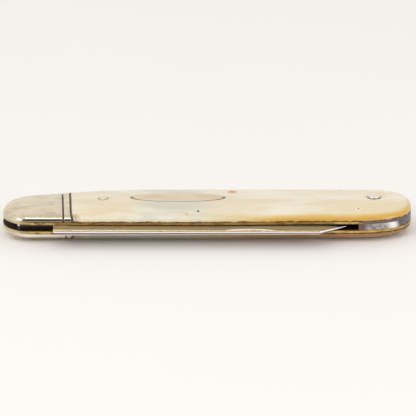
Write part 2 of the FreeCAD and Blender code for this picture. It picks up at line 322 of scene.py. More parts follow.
seam_x = stretches((SEAM, SEAM + 0.2, 0.02), (SEAM + 0.2, 18, 0.25), (18, TAIL_POLE, 0.5))
scale_x = np.concatenate([seam_x, tail_x[1:]])
for name, side in (("upper", 1), ("lower", -1)):
    scale = cushion(f"{name}_pearl", scale_x, scale_cut, side, scale_lean, scale_lean, "first")
    dress(scale, "handle", "pearl", f"{name}_scale")

# %% [markdown]
# ## Inlays and pins
#
# The oval shield and every pin end are set into the cushion and follow it, so their tops take
# their height from the same formula. Each is rings round a centre: in over the top from the
# middle to the rim, round the rim, down the side and back to the middle underneath.

# %% Inlay maker
RING_POINTS, OVER_RINGS, RIM_RINGS = 96, 16, 7


def inlay(name, centre, half_size, proud, foot, side=1, dome=0.0, rounded=0.06):
    """Rings of an oval whose top stands proud of the cushion, with a dome over it.

    Ring radius r runs 0 to 1 over the top, then the rim falls by a quarter round, and the foot
    closes the piece at height foot. The dome adds dome (1 - r cubed).
    """
    over = np.linspace(0, 1, OVER_RINGS)
    fall = np.linspace(0, np.pi / 2, RIM_RINGS)
    inset = rounded / min(half_size)
    radius = np.concatenate([over * (1 - inset), 1 - inset * (1 - np.sin(fall)), [1.0, 0.0]])
    drop = np.concatenate([0 * over, rounded * (1 - np.cos(fall)), [0.0, 0.0]])[:, None]
    turn = np.linspace(0, 2 * np.pi, RING_POINTS + 1)
    x = centre[0] + half_size[0] * radius[:, None] * np.cos(turn)
    y = centre[1] + half_size[1] * radius[:, None] * np.sin(turn)
    z = cushion_z(x, y) + proud + dome * (1 - radius[:, None] ** 3) - drop
    z = z - (UNDERSIDE_IN if side < 0 else 0)
    z[-2:] = foot
    points = np.stack([x, y, side * z], axis=-1)
    rim = np.full(z.shape, SHOULDER)
    faces = grid_faces(len(radius), RING_POINTS + 1).tolist()
    return add_mesh(name, to_frame(points), faces, rim)


# %% Shield and pin ends
shield_at = node_middle("shield")
shield_low, shield_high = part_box("shield")
shield_half = (np.array(shield_high) - np.array(shield_low))[:2] / MM / 2
INLAY_FOOT = HALF - 0.5      # the shield and the butt pin's head end this high, inside the scale
oval_shield = inlay("oval_shield", shield_at, shield_half, 0.05, INLAY_FOOT)
dress(oval_shield, "handle", "shield_silver", "shield")

pivot_at = node_middle("pivot_pin")
scale_pin_at = node_middle("scale_pins")
butt_at = node_middle("butt_pin")
PIVOT_R, SCALE_PIN_R, BUTT_HEAD_R = 1.25, 0.8, 1.2
for name, side in (("upper", 1), ("lower", -1)):
    end = inlay(f"{name}_pivot_end", pivot_at, (PIVOT_R, PIVOT_R), 0.012, CORE, side, rounded=0.02)
    dress(end, "handle", "bolster_silver")
    pin_size = (SCALE_PIN_R, SCALE_PIN_R)
    end = inlay(f"{name}_scale_pin_end", scale_pin_at, pin_size, 0.03, CORE, side)
    dress(end, "handle", "pin_silver", *(["scale_pins"] if side == 1 else []))
head_size = (BUTT_HEAD_R, BUTT_HEAD_R)
head = inlay("butt_pin_head", butt_at, head_size, 0.19, INLAY_FOOT, dome=0.15, rounded=0.12)
dress(head, "handle", "pin_silver", "butt_pin")
foot = inlay("butt_pin_foot", butt_at, head_size, 0.02, CORE, side=-1, rounded=0.04)
dress(foot, "handle", "pin_silver")

# %% [markdown]
# ## The blade
#
# The blade is sections again, each a tall thin wedge: crowned along the spine, flat down both
# sides and almost sharp at the edge. The tang keeps its full thickness between the liners. The
# nail nick is a crescent pressed into the upper side: a steep wall towards the spine, and a slope
# that rises to nothing along the arc.

# %% Blade outline
blade_low, blade_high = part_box("blade")
BLADE_X, SPINE_Y, _ = (np.array(blade_low) - ORIGIN) / MM
POINT_X, EDGE_Y, _ = (np.array(blade_high) - ORIGIN) / MM
BLADE_HALF = (blade_high.z - blade_low.z) / MM / 2
TANG_FRONT, TANG_BACK, TANG_CORNER, TANG_STEP = 1.05, 8.85, 1.3, 10.45
STEP_CORNER = 0.35
CLIP_X, CLIP_RISE = POINT_X - 5.3, 3.76
CHOIL_FROM, CHOIL_TO, CHOIL_Y, HEEL_X = 11.0, 13.4, 7.8, 14.6
BELLY_R, BELLY_REACH = 16.0, 8.2
POINT_DRAW, POINT_OVER = 0.06, 0.5       # the edge is drawn in this much over the last stretch
TIP_Y = SPINE_Y + CLIP_RISE
BELLY_FALL = math.atan2(EDGE_Y - TIP_Y, BELLY_REACH)
BELLY_X = POINT_X - BELLY_REACH - BELLY_R * math.tan(BELLY_FALL / 2)
BELLY_END = BELLY_X + BELLY_R * math.sin(BELLY_FALL)


def corner(x, start, radius):
    """How far a corner of this radius stands back at x: r - square root of r squared - run squared."""
    run = np.clip(1 - (x - start) / radius, 0, 1)
    return radius * (1 - np.sqrt(1 - run ** 2))


def spine_line(x):
    """The tang's front, a step out to the straight spine, then the clip down to the point."""
    tang = TANG_FRONT + corner(x, BLADE_X, TANG_CORNER)
    along_clip = np.clip((x - CLIP_X) / (POINT_X - CLIP_X), 0, 1)
    spine = SPINE_Y + corner(x, TANG_STEP, STEP_CORNER) + CLIP_RISE * along_clip
    return np.where(x < TANG_STEP, tang, spine)


def edge_side(x):
    """The tang's back, the choil, the heel, the straight edge, and the belly's arc to the point."""
    tang = TANG_BACK - corner(x, BLADE_X, TANG_CORNER)
    heel = CHOIL_Y + (EDGE_Y - CHOIL_Y) * smooth(CHOIL_TO, HEEL_X, x)
    arc = EDGE_Y - corner(-x, -BELLY_X - BELLY_R, BELLY_R)
    line = TIP_Y + (POINT_X - x) * math.tan(BELLY_FALL)
    y = np.where(x < CHOIL_FROM, tang, heel)
    y = np.where(x > BELLY_X, arc, y)
    y = np.where(x > BELLY_END, line, y)
    return y + POINT_DRAW * smooth(POINT_X - POINT_OVER, POINT_X, x)


print(f"blade from {BLADE_X:.1f} to {POINT_X:.1f} mm, belly from {BELLY_X:.1f} mm")

# %% Blade stations and nail nick
CROWN_DEPTH, TANG_CROWN, EDGE_HALF = 0.24, 0.06, 0.05
CLIP_HALF, TIP_HALF = 0.37, 0.1
NICK_X, NICK_HALF, NICK_WIDTH, NICK_IN, NICK_DEPTH = 49.8, 5.6, 0.95, 0.5, 0.2
NICK_SHARE = 0.22        # the share of the blade's side, from the spine, with rows for the nick

# stations close together at the tang's corners, the choil, the nick and the point
blade_x = np.unique(np.concatenate([
    BLADE_X + TANG_CORNER * np.linspace(0, 1, 14) ** 2, stretches((4.5, 9.9, 0.6)),
    [TANG_STEP - 1e-4], TANG_STEP + STEP_CORNER * np.linspace(0, 1, 9) ** 2,
    stretches((10.9, 10.999, 0.05), (CHOIL_FROM, 15.2, 0.14), (16, 44, 1.0)),
    stretches((44.4, 55.6, 0.1), (56.5, CLIP_X - 0.4, 0.6), (CLIP_X, POINT_X, 0.15)),
]))
print(len(blade_x), "stations along the blade")


def nick_depth(x, y):
    """Deepest D along the wall, rising to nothing at an arc W (1 - s squared) away from it."""
    s = np.clip((x - NICK_X) / NICK_HALF, -1, 1)
    arc = NICK_WIDTH * (1 - s ** 2) + 1e-6
    past_wall = y - (SPINE_Y + NICK_IN)
    return np.where(past_wall > 0, NICK_DEPTH * np.clip(1 - past_wall / arc, 0, 1) * (arc > 0.02), 0)


# %% Blade mesh
def blade_mesh(name):
    """Sections over x: edge, up the near side, round the spine's ellipse, back down the far side.

    The rim attribute is 0 on the sides and 1 to 3 round the spine, 3 being the upper edge.
    """
    x = blade_x[:, None]
    spine, edge = spine_line(x), edge_side(x)
    along_spine = np.clip((x - HEEL_X) / (CLIP_X - HEEL_X), 0, 1)
    along_clip = np.clip((x - CLIP_X) / (POINT_X - CLIP_X), 0, 1)
    spine_half = BLADE_HALF + (CLIP_HALF - BLADE_HALF) * along_spine
    spine_half += (TIP_HALF - CLIP_HALF) * along_clip
    ground = BLADE_HALF + (EDGE_HALF - BLADE_HALF) * smooth(CHOIL_TO - 1, HEEL_X, x)
    edge_half = np.minimum(ground, spine_half)
    crown = TANG_CROWN + (CROWN_DEPTH - TANG_CROWN) * smooth(TANG_STEP, TANG_STEP + 0.3, x)
    crown = crown * (spine_half / BLADE_HALF)
    down = np.concatenate([np.linspace(0, NICK_SHARE, 60), np.linspace(NICK_SHARE, 1, 16)[1:]])
    flat_y = spine + crown + (edge - spine - crown) * down
    flat_z = spine_half + (edge_half - spine_half) * down
    round_spine = np.linspace(np.pi / 2, -np.pi / 2, 21)[1:-1]
    spine_y = spine + crown * (1 - np.cos(round_spine))
    spine_z = spine_half * np.sin(round_spine)
    near_z = flat_z - nick_depth(x, flat_y)
    y = np.concatenate([flat_y[:, ::-1], spine_y, flat_y], axis=1)
    z = np.concatenate([near_z[:, ::-1], spine_z, -flat_z], axis=1)
    stations, around = y.shape
    points = np.stack([np.broadcast_to(x, y.shape), y, z], axis=-1)
    loop = np.concatenate([points, points[:, :1]], axis=1)
    crown_mark = np.concatenate([0 * down, 2 + np.sin(round_spine), 0 * down, [0.0]])
    marks = np.broadcast_to(crown_mark, loop.shape[:2])
    one = np.arange(around // 2)
    ends = []
    for start, flip in ((0, 1), ((stations - 1) * (around + 1), -1)):
        quad = [start + one, start + one + 1, start + around - 2 - one, start + around - 1 - one]
        ends.append(np.stack(quad[::flip], axis=1))
    faces = np.concatenate([grid_faces(stations, around + 1), *ends])
    return add_mesh(name, to_frame(loop), faces.tolist(), marks)


dress(blade_mesh("polished_blade"), "blade", "blade_steel", "blade")

# %% [markdown]
# ## Shader arithmetic
#
# Every finish below is a few masks: where dirt gathers, where a shoulder is rubbed bright, where a
# stain sits. Masks read better as sums than as chains of boxes, so a small class wraps a socket
# and lets + - * / ** and abs() add the Math nodes. One method makes any other node.

# %% Sums of sockets
class Sum:
    """A socket that can be added, taken away, multiplied, divided and raised to a power."""

    def __init__(self, finish, socket):
        self.finish, self.socket = finish, socket

    def math(self, operation, first, second):
        return self.finish.node("Math", {"operation": operation}, {0: first, 1: second})

    def __add__(self, other):
        return self.math("ADD", self, other)

    def __radd__(self, other):
        return self.math("ADD", other, self)

    def __sub__(self, other):
        return self.math("SUBTRACT", self, other)

    def __rsub__(self, other):
        return self.math("SUBTRACT", other, self)

    def __mul__(self, other):
        return self.math("MULTIPLY", self, other)

    def __rmul__(self, other):
        return self.math("MULTIPLY", other, self)

    def __truediv__(self, other):
        return self.math("DIVIDE", self, other)

    def __pow__(self, other):
        return self.math("POWER", self, other)

    def __abs__(self):
        return self.finish.node("Math", {"operation": "ABSOLUTE"}, {0: self})


# %% [markdown]
# ## Colours and nodes
#
# Colours are easiest to compare by their screen numbers, but shaders add up linear light, so one
# function converts them. A small class then holds the nodes of a finish. It makes every kind of
# node in the same way, and names the few combinations that come back all the time.

# %% Colours and nodes
def tone(red, green, blue):
    """A colour by its screen numbers, 0 to 255, as the linear light that shaders add up."""
    share = np.array([red, green, blue]) / 255
    linear = np.where(share <= 0.04045, share / 12.92, ((share + 0.055) / 1.055) ** 2.4)
    return (*linear.tolist(), 1.0)


class Finish:
    """The nodes of one material or of the studio's world."""

    def __init__(self, tree):
        self.tree = tree
        tree.nodes.clear()

    def node(self, kind, settings, sockets, out=0):
        """Add a node: its settings first, then a value or a link for each socket."""
        made = self.tree.nodes.new("ShaderNode" + kind)
        for key, value in settings.items():
            setattr(made, key, value)
        for key, value in sockets.items():
            if isinstance(value, Sum):
                self.tree.links.new(value.socket, made.inputs[key])
            else:
                made.inputs[key].default_value = value
        return Sum(self, made.outputs[out]) if made.outputs else None

    def mix(self, factor, first, second):
        """The first colour, turning to the second as factor goes from 0 to 1."""
        return self.node("Mix", {"data_type": "RGBA"}, {0: factor, 6: first, 7: second}, out=2)

    def ramp(self, value, low, high):
        """0 below low, 1 above high, and an S-shaped rise between."""
        settings = {"interpolation_type": "SMOOTHSTEP"}
        return self.node("MapRange", settings, {0: value, 1: low, 2: high, 3: 0.0, 4: 1.0})

    def larger(self, first, second):
        """The larger of two values."""
        return self.node("Math", {"operation": "MAXIMUM"}, {0: first, 1: second})

    def parts(self, vector):
        """The x, y and z of a vector."""
        return (self.node("SeparateXYZ", {}, {0: vector}, out=i) for i in range(3))


# %% [markdown]
# ## Places and patterns
#
# Every pattern is laid out in the same millimetres as the drawing, from Object coordinates, which
# stay with the piece when it moves. Noise gives clouds and grain, and distances on the plan give
# spots and bands. What follows a surface, and not the plan, is read from the stored rim number.

# %% Places and patterns
OBJECT_PLACE = 3         # which output of Texture Coordinate gives Object coordinates
PLAIN_NUMBER = 2         # which output of Attribute gives its number


class Material(Finish):
    """A material with its place in drawing millimetres, and its patterns."""

    def __init__(self, name):
        self.material = bpy.data.materials.new(name)
        self.material.use_nodes = True
        super().__init__(self.material.node_tree)
        metres = self.node("TexCoord", {}, {}, out=OBJECT_PLACE)
        moved = self.node("VectorMath", {"operation": "SUBTRACT"}, {0: metres, 1: ORIGIN.tolist()})
        self.place = self.node("VectorMath", {"operation": "SCALE"}, {0: moved, 3: 1 / MM})
        self.x, self.y, self.z = self.parts(self.place)

    def noise(self, size, stretch=(1, 1, 1), detail=4.0, rough=0.55, distort=0.0, shift=(0, 0, 0)):
        """Cloudy values round a half; size is the clouds' size in mm, stretch pulls them longer."""
        scale = [1 / (size * s) for s in stretch]
        at = self.node("Mapping", {}, {0: self.place, 1: shift, 3: scale})
        return self.node("TexNoise", {}, {
            "Vector": at, "Scale": 1.0, "Detail": detail, "Roughness": rough, "Distortion": distort,
        })

    def stored(self, attribute):
        """A number stored on the mesh's points."""
        return self.node("Attribute", {"attribute_name": attribute}, {}, out=PLAIN_NUMBER)

    def away(self, x, y, squash=1.0):
        """Distance in mm from a place on the plan, with y counted squash times."""
        return ((self.x - x) ** 2 + ((self.y - y) * squash) ** 2) ** 0.5

    def spot(self, x, y, radius, soft=0.5, squash=1.0):
        """1 inside a round spot on the plan and 0 outside; soft is the share that fades."""
        return 1 - self.ramp(self.away(x, y, squash), radius * (1 - soft), radius)

    def band(self, value, middle, half, soft=0.5):
        """1 within half of a middle value and 0 beyond, fading over the soft share."""
        return 1 - self.ramp(abs(value - middle), half * (1 - soft), half)

    def bump(self, height, depth_mm):
        """A normal that follows height, whose 0 to 1 stands for depth_mm."""
        return self.node("Bump", {}, {"Height": height, "Distance": depth_mm * MM, "Strength": 1.0})

    def finish(self, sockets):
        """End with one Principled shader that takes these sockets."""
        shader = self.node("BsdfPrincipled", {}, sockets)
        self.node("OutputMaterial", {}, {0: shader})
        print("finish:", self.material.name, len(self.tree.nodes), "nodes")
        return self.material


# %% [markdown]
# ## Mother of pearl
#
# The scales are slabs of shell. Growth layers give long soft streaks, cream to greenish grey, and
# age has turned the front shoulder amber, most of all towards the butt. The amber follows the
# edge, so it reads the rim attribute that the cushion stored: how far in from the edge a point is.

# %% Shell layers and amber
def shell_colour(m, rim, streaks, fine, amber_from):
    """Cream and bright streaks, green towards the middle, and amber rising from amber_from."""
    clouds = m.noise(5.0, (2.2, 1, 1), detail=3, shift=(3, 1, 0))
    cream, bright, green = tone(230, 214, 178), tone(236, 229, 209), tone(200, 202, 184)
    colour = m.mix(m.ramp(streaks, 0.36, 0.66), cream, bright)
    towards_middle = m.band(m.x, 30, 22, soft=0.8) * m.ramp(clouds, 0.36, 0.68)
    colour = m.mix(towards_middle * 0.9, colour, green)
    colour = m.mix(m.ramp(fine, 0.5, 0.8) * 0.14, colour, tone(196, 182, 146))
    # the amber is strongest along the front and round the butt
    front = 1 - m.ramp(m.y, 5.0, 8.5) * (1 - m.ramp(m.x, 76, 81))
    near = 1 - m.ramp(rim + (streaks - 0.5) * 0.5, 0.15, 1.3)
    amber = near * m.ramp(m.x, amber_from, amber_from + 22) * front
    colour = m.mix(amber * 0.9, colour, tone(214, 178, 62))
    deep = (1 - m.ramp(rim, 0.1, 0.8)) * front * m.ramp(m.x, amber_from + 10, amber_from + 24)
    return m.mix(deep * 0.5, colour, tone(220, 150, 38))


# %% Stains and specks
RUST_STAIN, PALE_STAIN = (46.3, 11.9), (37.1, 1.1)       # places on the plan, in drawing mm
DARK_SPECK, RINGED_SPECK = (39.4, 1.9), (71.6, 2.9)
SEAM_STAIN = (SEAM + 1.3, 0.2)


def stained(m, colour, lower):
    """The colour with its stains and specks; the rust is on the upper scale only."""
    grit = m.noise(0.35, detail=3)
    rust = m.spot(*RUST_STAIN, 1.4, 0.85) * (0 if lower else 1)
    colour = m.mix(rust, colour, tone(204, 132, 0))
    by_seam = m.spot(*SEAM_STAIN, 1.3, 0.8) * m.ramp(grit, 0.3, 0.6)
    colour = m.mix(by_seam * 0.7, colour, tone(150, 96, 70))
    colour = m.mix(m.spot(*PALE_STAIN, 0.5, 0.6) * 0.7, colour, tone(222, 184, 104))
    colour = m.mix(m.spot(*DARK_SPECK, 0.32, 0.5), colour, tone(38, 28, 16))
    halo = m.spot(*RINGED_SPECK, 0.75, 0.5) * (1 - m.spot(*RINGED_SPECK, 0.28, 0.6))
    colour = m.mix(halo * 0.7, colour, tone(246, 238, 210))
    return m.mix(m.spot(*RINGED_SPECK, 0.3, 0.6), colour, tone(150, 84, 40))


# %% [markdown]
# ## Dirt and painted shade on the pearl
#
# Dirt collects where the scale meets something else: the liner, the bolster, the shield and the
# pins. Round the shield and the pins the band is darker on the near side as painted shade, and by
# the butt pin's proud head as a painted shadow. Each place is a band round a distance, broken up by
# noise or fading on the far side, and the largest of them wins. Adding them up instead would make
# crossings darker than dirt gets.

# %% Dirt and painted shade on the pearl
def seam_line(m, swept=1.0):
    """A point's place along x less the seam's own line, so that SEAM is the seam everywhere."""
    sweep = m.larger(1 - m.y / SWEEP_Y, 0.0) ** 2
    return m.x - (WIDTH / 2 - m.y) * SEAM_SLANT - sweep * (SEAM_SWEEP * swept)


def pearl_dirt_and_shade(m, lower):
    """1 where it darkens: dirt by the liner and seam, and dirt round the shield and pins with painted
    shade on their near side.
    """
    notch = m.noise(0.5, (2.5, 1, 1), detail=5)
    joint = 1 - m.ramp(abs(m.z) + (notch - 0.55) * 0.8, CORE + 0.03, CORE + 0.18)
    seam = 1 - m.ramp(seam_line(m) + (notch - 0.5) * 0.3, SEAM + 0.16, SEAM + 0.4)
    # round the shield: dirt, darker on its near side as painted shade
    oval = m.away(shield_at[0], shield_at[1], shield_half[0] / shield_half[1])
    tips = m.ramp(m.away(shield_at[0], shield_at[1]), 5.0, 9.0) * 0.5 + 0.5
    near_side_shade = 1 - m.ramp(m.y, shield_at[1] - 0.2, shield_at[1] + 1.0) * 0.75
    shield = m.band(oval, shield_half[0] + 0.1, 0.42, 0.5) * tips * near_side_shade
    # round the scale pin: dirt, darker on its near side as painted shade
    pin_front_shade = 1 - m.ramp(m.y, scale_pin_at[1], scale_pin_at[1] + 0.7) * 0.7
    pin = m.band(m.away(scale_pin_at[0], scale_pin_at[1]), SCALE_PIN_R + 0.04, 0.32, 0.5)
    # round the butt pin's proud head: dirt, with a painted shadow on its near side
    butt_front_shadow = 1 - m.ramp(m.y, butt_at[1] - 0.9, butt_at[1] + 0.3) * 0.7
    butt = m.band(m.away(butt_at[0], butt_at[1]), BUTT_HEAD_R + 0.12, 0.42, 0.6)
    darkening = m.larger(m.larger(joint, seam), shield * (0 if lower else 1))
    return m.larger(m.larger(darkening, pin * pin_front_shade * 0.85), butt * butt_front_shadow * 0.95)


# %% Pearl finish
def pearl_material(name, amber_from, lower):
    """Shell whose amber starts at x = amber_from; the lower scale has painted shade on its shoulder and
    no shield.
    """
    m = Material(name)
    rim = m.stored("rim")
    streaks = m.noise(3.4, (5, 1, 1), detail=4, distort=0.9)
    fine = m.noise(0.8, (12, 1, 1), detail=6, rough=0.65)
    colour = shell_colour(m, rim, streaks, fine, amber_from)
    if lower:
        # the lower scale's shoulder is painted darker as shade, grey-beige turning brown towards the
        # butt
        painted_under_shade = m.mix(m.ramp(m.x, 30.0, 60.0), tone(150, 138, 122), tone(150, 100, 54))
        colour = m.mix((1 - m.ramp(rim, 1.2, 3.0)) * 0.8, colour, painted_under_shade)
    colour = stained(m, colour, lower)
    # darkening: dirt along the joints, and painted shade round the shield and pins
    darkening = pearl_dirt_and_shade(m, lower)
    return m.finish({
        "Base Color": m.mix(darkening * 0.9, colour, tone(50, 28, 22)),
        "Roughness": m.ramp(fine, 0.3, 0.8) * 0.14 + 0.2 + darkening * 0.3, "IOR": 1.55,
        "Coat Weight": 0.3 - darkening * 0.25, "Coat Roughness": 0.3, "Subsurface Weight": 0.12,
        "Subsurface Scale": 0.0012, "Subsurface Radius": (1.0, 0.75, 0.5),
        "Normal": m.bump(streaks * 0.5 + fine * 0.25 - darkening * 0.5, 0.05),
    })


upper_pearl = pearl_material("upper pearl", 36.0, False)
lower_pearl = pearl_material("lower pearl", 26.0, True)

# %% [markdown]
# ## One recipe for metal
#
# All the metals are one recipe with different numbers: a clean colour, a tarnished colour that
# gathers in cloudy patches, fine polishing lines along the handle, and scattered pits. Polish
# lines are noise pulled very long; pits are the high end of a small-grained noise. Each metal
# could have its own chain of nodes, but then a change of mind would be made five times.

# %% Metal recipe
POLISH_LINES = (0.12, 5.0, 5.0)      # features per mm: 8 mm long and a fifth of a mm across


def metal_base(name, clean, tarnish, cloud=3.0, cover=(0.45, 0.75), line_angle=0.0, pits=0.0):
    """A metal with its colour, roughness and height ready for more masks."""
    m = Material(name)
    turned = m.node("VectorRotate", {"rotation_type": "Z_AXIS"}, {0: m.place, 3: line_angle})
    at = m.node("Mapping", {}, {0: turned, 3: POLISH_LINES})
    m.lines = m.node("TexNoise", {}, {"Vector": at, "Scale": 1.0, "Detail": 5.0, "Roughness": 0.6})
    m.clouds = m.noise(cloud, (1.8, 1, 1), detail=6, rough=0.62)
    m.grit = m.noise(0.22, detail=4, rough=0.6)
    patch = m.ramp(m.clouds, *cover)
    m.pitted = m.ramp(m.grit, 0.6, 0.72) * pits
    m.colour = m.mix(patch * 0.6, clean, tarnish)
    m.colour = m.mix(m.ramp(m.lines, 0.5, 0.75) * 0.45, m.colour, tarnish)
    m.colour = m.mix(m.pitted * 0.8, m.colour, tone(60, 46, 36))
    m.rough = patch * 0.14 + m.lines * 0.16 + m.pitted * 0.2
    m.height = m.lines * 0.35 - m.pitted * 0.6
    m.bare = 1 - m.pitted * 0.3
    return m


def metal_finish(m, polish, depth_mm=0.012):
    """End a metal: polish is the lowest roughness."""
    return m.finish({
        "Base Color": m.colour, "Metallic": m.bare, "Roughness": m.rough + polish,
        "Normal": m.bump(m.height, depth_mm),
    })


# %% [markdown]
# ## Nickel silver
#
# The bolsters, the shield and the pins are nickel silver, a white metal that yellows a little.
# The bolsters' tops are dull from handling and their shoulders are still polished, so roughness
# and bump fade away towards the rim. Dirt stays in the groove, in the seam and along the liner.
# Low on the shoulder the upper bolster is painted dark and the lower one bright, as painted light
# and shade, and painted shade above the bright line keeps that line thin. Painting each as a mask
# keeps it in place when another one changes.

# %% Bolster silver
def bolster_material(name, groove_x, painted_flank_tone, painted_flank_metal):
    """Nickel silver with painted light and shade low on the shoulder, in its own tone and less of a
    metal.
    """
    m = metal_base(name, tone(236, 224, 200), tone(194, 182, 152), 2.6, (0.42, 0.68), 0.18, pits=0.35)
    rim = m.stored("rim")
    # painted light and shade low on the shoulder, and painted shade above the bright line to keep it
    # thin
    painted_flank = (1 - m.ramp(rim, 0.18, 0.32)) * m.ramp(m.x, 2.5, 5.0)
    m.colour = m.mix(painted_flank * 0.85, m.colour, painted_flank_tone)
    above = m.ramp(rim, 0.42, 0.55) * (1 - m.ramp(rim, 0.7, 1.4)) * m.ramp(m.x, 3.0, 5.0)
    m.colour = m.mix(above * (1 - m.ramp(m.y, 3.0, 5.0)) * 0.45, m.colour, tone(196, 186, 158))
    m.height = m.height * m.ramp(rim, 0.9, 2.2)
    m.rough = m.rough * (m.ramp(rim, 0.8, 1.8) * 0.7 + 0.3)
    # dirt in the groove, in the seam and where the bolster meets the liner
    groove = m.band(seam_line(m, 0.0), groove_x, GROOVE_HALF + 0.05, 0.4)
    darkening = m.larger(groove, m.ramp(seam_line(m), SEAM - 0.26, SEAM - 0.12))
    joint = 1 - m.ramp(abs(m.z) + (m.grit - 0.5) * 0.25, CORE + 0.02, CORE + 0.14)
    m.colour = m.mix(darkening * 0.9, m.colour, tone(78, 38, 38))
    m.colour = m.mix(joint * 0.8 * m.ramp(m.x, 3.0, 7.0), m.colour, tone(70, 50, 28))
    # wear over the pivot, and one long scratch
    worn = m.spot(pivot_at[0], pivot_at[1], 2.2, 0.7) * m.ramp(m.grit, 0.45, 0.62)
    m.colour = m.mix(worn * 0.55, m.colour, tone(176, 160, 132))
    scratch = m.band(m.y - m.x * 0.2 + (m.clouds - 0.5) * 0.5, 2.6, 0.12) * m.ramp(m.x, 2.0, 5.0)
    m.colour = m.mix(scratch * 0.5, m.colour, tone(160, 146, 116))
    m.rough = m.rough + darkening * 0.4 + worn * 0.15
    m.bare = m.bare - darkening * 0.8 - joint * 0.3 - painted_flank * painted_flank_metal
    return metal_finish(m, 0.07, 0.004)


# the upper bolster's low shoulder is painted dark as the reflection it shows; the lower one's is
# painted bright and less of a metal, as painted light
upper_silver = bolster_material("upper bolster silver", UPPER_GROOVE, tone(124, 122, 104), 0.0)
lower_silver = bolster_material("lower bolster silver", LOWER_GROOVE, tone(252, 244, 234), 0.6)

# %% Shield and pin silver
m = metal_base(
    "shield silver", tone(236, 220, 192), tone(216, 196, 164), 2.4, (0.4, 0.75), 0.05, pits=0.15)
oval = m.away(shield_at[0], shield_at[1], shield_half[0] / shield_half[1])
rim_dark = m.ramp(oval, shield_half[0] - 0.35, shield_half[0] - 0.02)
m.colour = m.mix(rim_dark * 0.6, m.colour, tone(110, 88, 58))
shield_silver = metal_finish(m, 0.2)

m = metal_base("pin silver", tone(246, 238, 224), tone(206, 190, 164), 0.9, (0.45, 0.8))
pin_silver = metal_finish(m, 0.18)

# %% [markdown]
# ## Brass liners
#
# Only a thread of each liner shows, between scale and slot. Black grime has crept in along its edge
# by the scale, and its edge by the slot is painted black as shade, so the yellow metal is a thin
# line with ragged edges. The upper liner is smeared grey over the butt, and both are worn pale at
# the nose. One material serves both liners: z says which is which, and how far from the slot a
# point lies.

# %% Brass liners
m = metal_base("liner brass", tone(222, 186, 108), tone(132, 96, 48), 1.3, (0.4, 0.66), 0.0, pits=0.7)
# grime along the edge by the scale; the slot side is painted black as shade
outer = m.ramp(abs(m.z) + (m.grit - 0.5) * 0.3, CORE - 0.16, CORE - 0.04)
inner = 1 - m.ramp(abs(m.z) + (m.grit - 0.5) * 0.2, SLOT / 2 + 0.02, SLOT / 2 + 0.12)
grime_and_shade = m.larger(outer * 0.85 * m.ramp(m.x, 3.0, 7.0), inner)
m.colour = m.mix(grime_and_shade * 0.92, m.colour, tone(28, 20, 11))
m.rough = m.rough + grime_and_shade * 0.25
m.bare = m.bare - grime_and_shade * 0.5
off_slot = m.ramp(abs(m.z), SLOT / 2 + 0.05, SLOT / 2 + 0.15)
nose = (1 - m.ramp(m.x + (m.clouds - 0.5) * 2.0, 3.2, 5.6)) * off_slot
m.colour = m.mix(nose * 0.85, m.colour, tone(206, 192, 164))
butt = m.ramp(m.x + (m.clouds - 0.5) * 3.0, 71.5, 73.5) * m.ramp(m.z, 0.0, 0.2)
m.colour = m.mix(butt * 0.85, m.colour, tone(112, 102, 106))
blotch = m.ramp(m.noise(0.6, (2.5, 1, 1), detail=4, shift=(5, 2, 1)), 0.5, 0.62)
fewer = 1 - m.ramp(m.x, 14, 22) * 0.6
m.colour = m.mix(blotch * 0.7 * fewer * (1 - nose), m.colour, tone(58, 42, 26))
liner_brass = metal_finish(m, 0.22)

# %% [markdown]
# ## The backspring
#
# The spring fills the butt end with a block of steel that shows between the liners. It is the
# least polished metal: freckled with old rust, and brown at the block's inner end. A painted
# highlight sits on the butt's curve, with painted shade past it towards the end. Its tip over the
# tang sits in shadow and oil, so it is painted dark.

# %% Spring steel
HIGHLIGHT_X, END_SHADE_FROM, END_SHADE_TO = LENGTH - 3.9, LENGTH - 3.1, LENGTH - 2.4
INNER_END_X = LENGTH - 10.6

m = metal_base(
    "spring steel", tone(206, 201, 196), tone(118, 108, 110), 1.3, (0.42, 0.66), 0.0, pits=1.0)
# a painted highlight on the butt's curve, and painted shade past it towards the end
painted_highlight = m.band(m.x + m.z * 0.3, HIGHLIGHT_X, 1.5, 0.95)
painted_end_shade = m.ramp(m.x, END_SHADE_FROM, END_SHADE_TO)
m.colour = m.mix(painted_highlight, m.colour, tone(250, 251, 255))
m.colour = m.mix(painted_end_shade * 0.8, m.colour, tone(92, 88, 96))
inner_end = m.band(m.x, INNER_END_X, 2.0, 0.7) * (1 - m.ramp(m.y, 5.0, 8.0))
m.colour = m.mix(inner_end * 0.9, m.colour, tone(112, 80, 66))
mottle = m.ramp(m.noise(0.55, (1.4, 1, 1), detail=3), 0.42, 0.62)
mottle = mottle * (m.ramp(m.x, LENGTH - 13, LENGTH - 11) * 0.35 + 0.12)
m.colour = m.mix(mottle * (1 - painted_highlight), m.colour, tone(96, 86, 92))
tip = 1 - m.ramp(m.x, 9.0, 12.0)
m.colour = m.mix(tip, m.colour, tone(34, 28, 22))
m.bare = m.bare - tip * 0.6
m.rough = m.rough + 0.05 + tip * 0.3
spring_steel = metal_finish(m, 0.2, 0.03)

# %% [markdown]
# ## The blade's steel
#
# Where the blade stands out of the handle, its upper side is painted in yellow, orange and olive
# stripes along it, as painted reflections of the brass. Its spine has a painted highlight along the
# upper corner and a painted dark reflection along the middle. The sides, the corner and the dark
# line all run along the blade, so they could be told apart by y and z; the number stored round the
# spine does it exactly, also where the clip turns down.

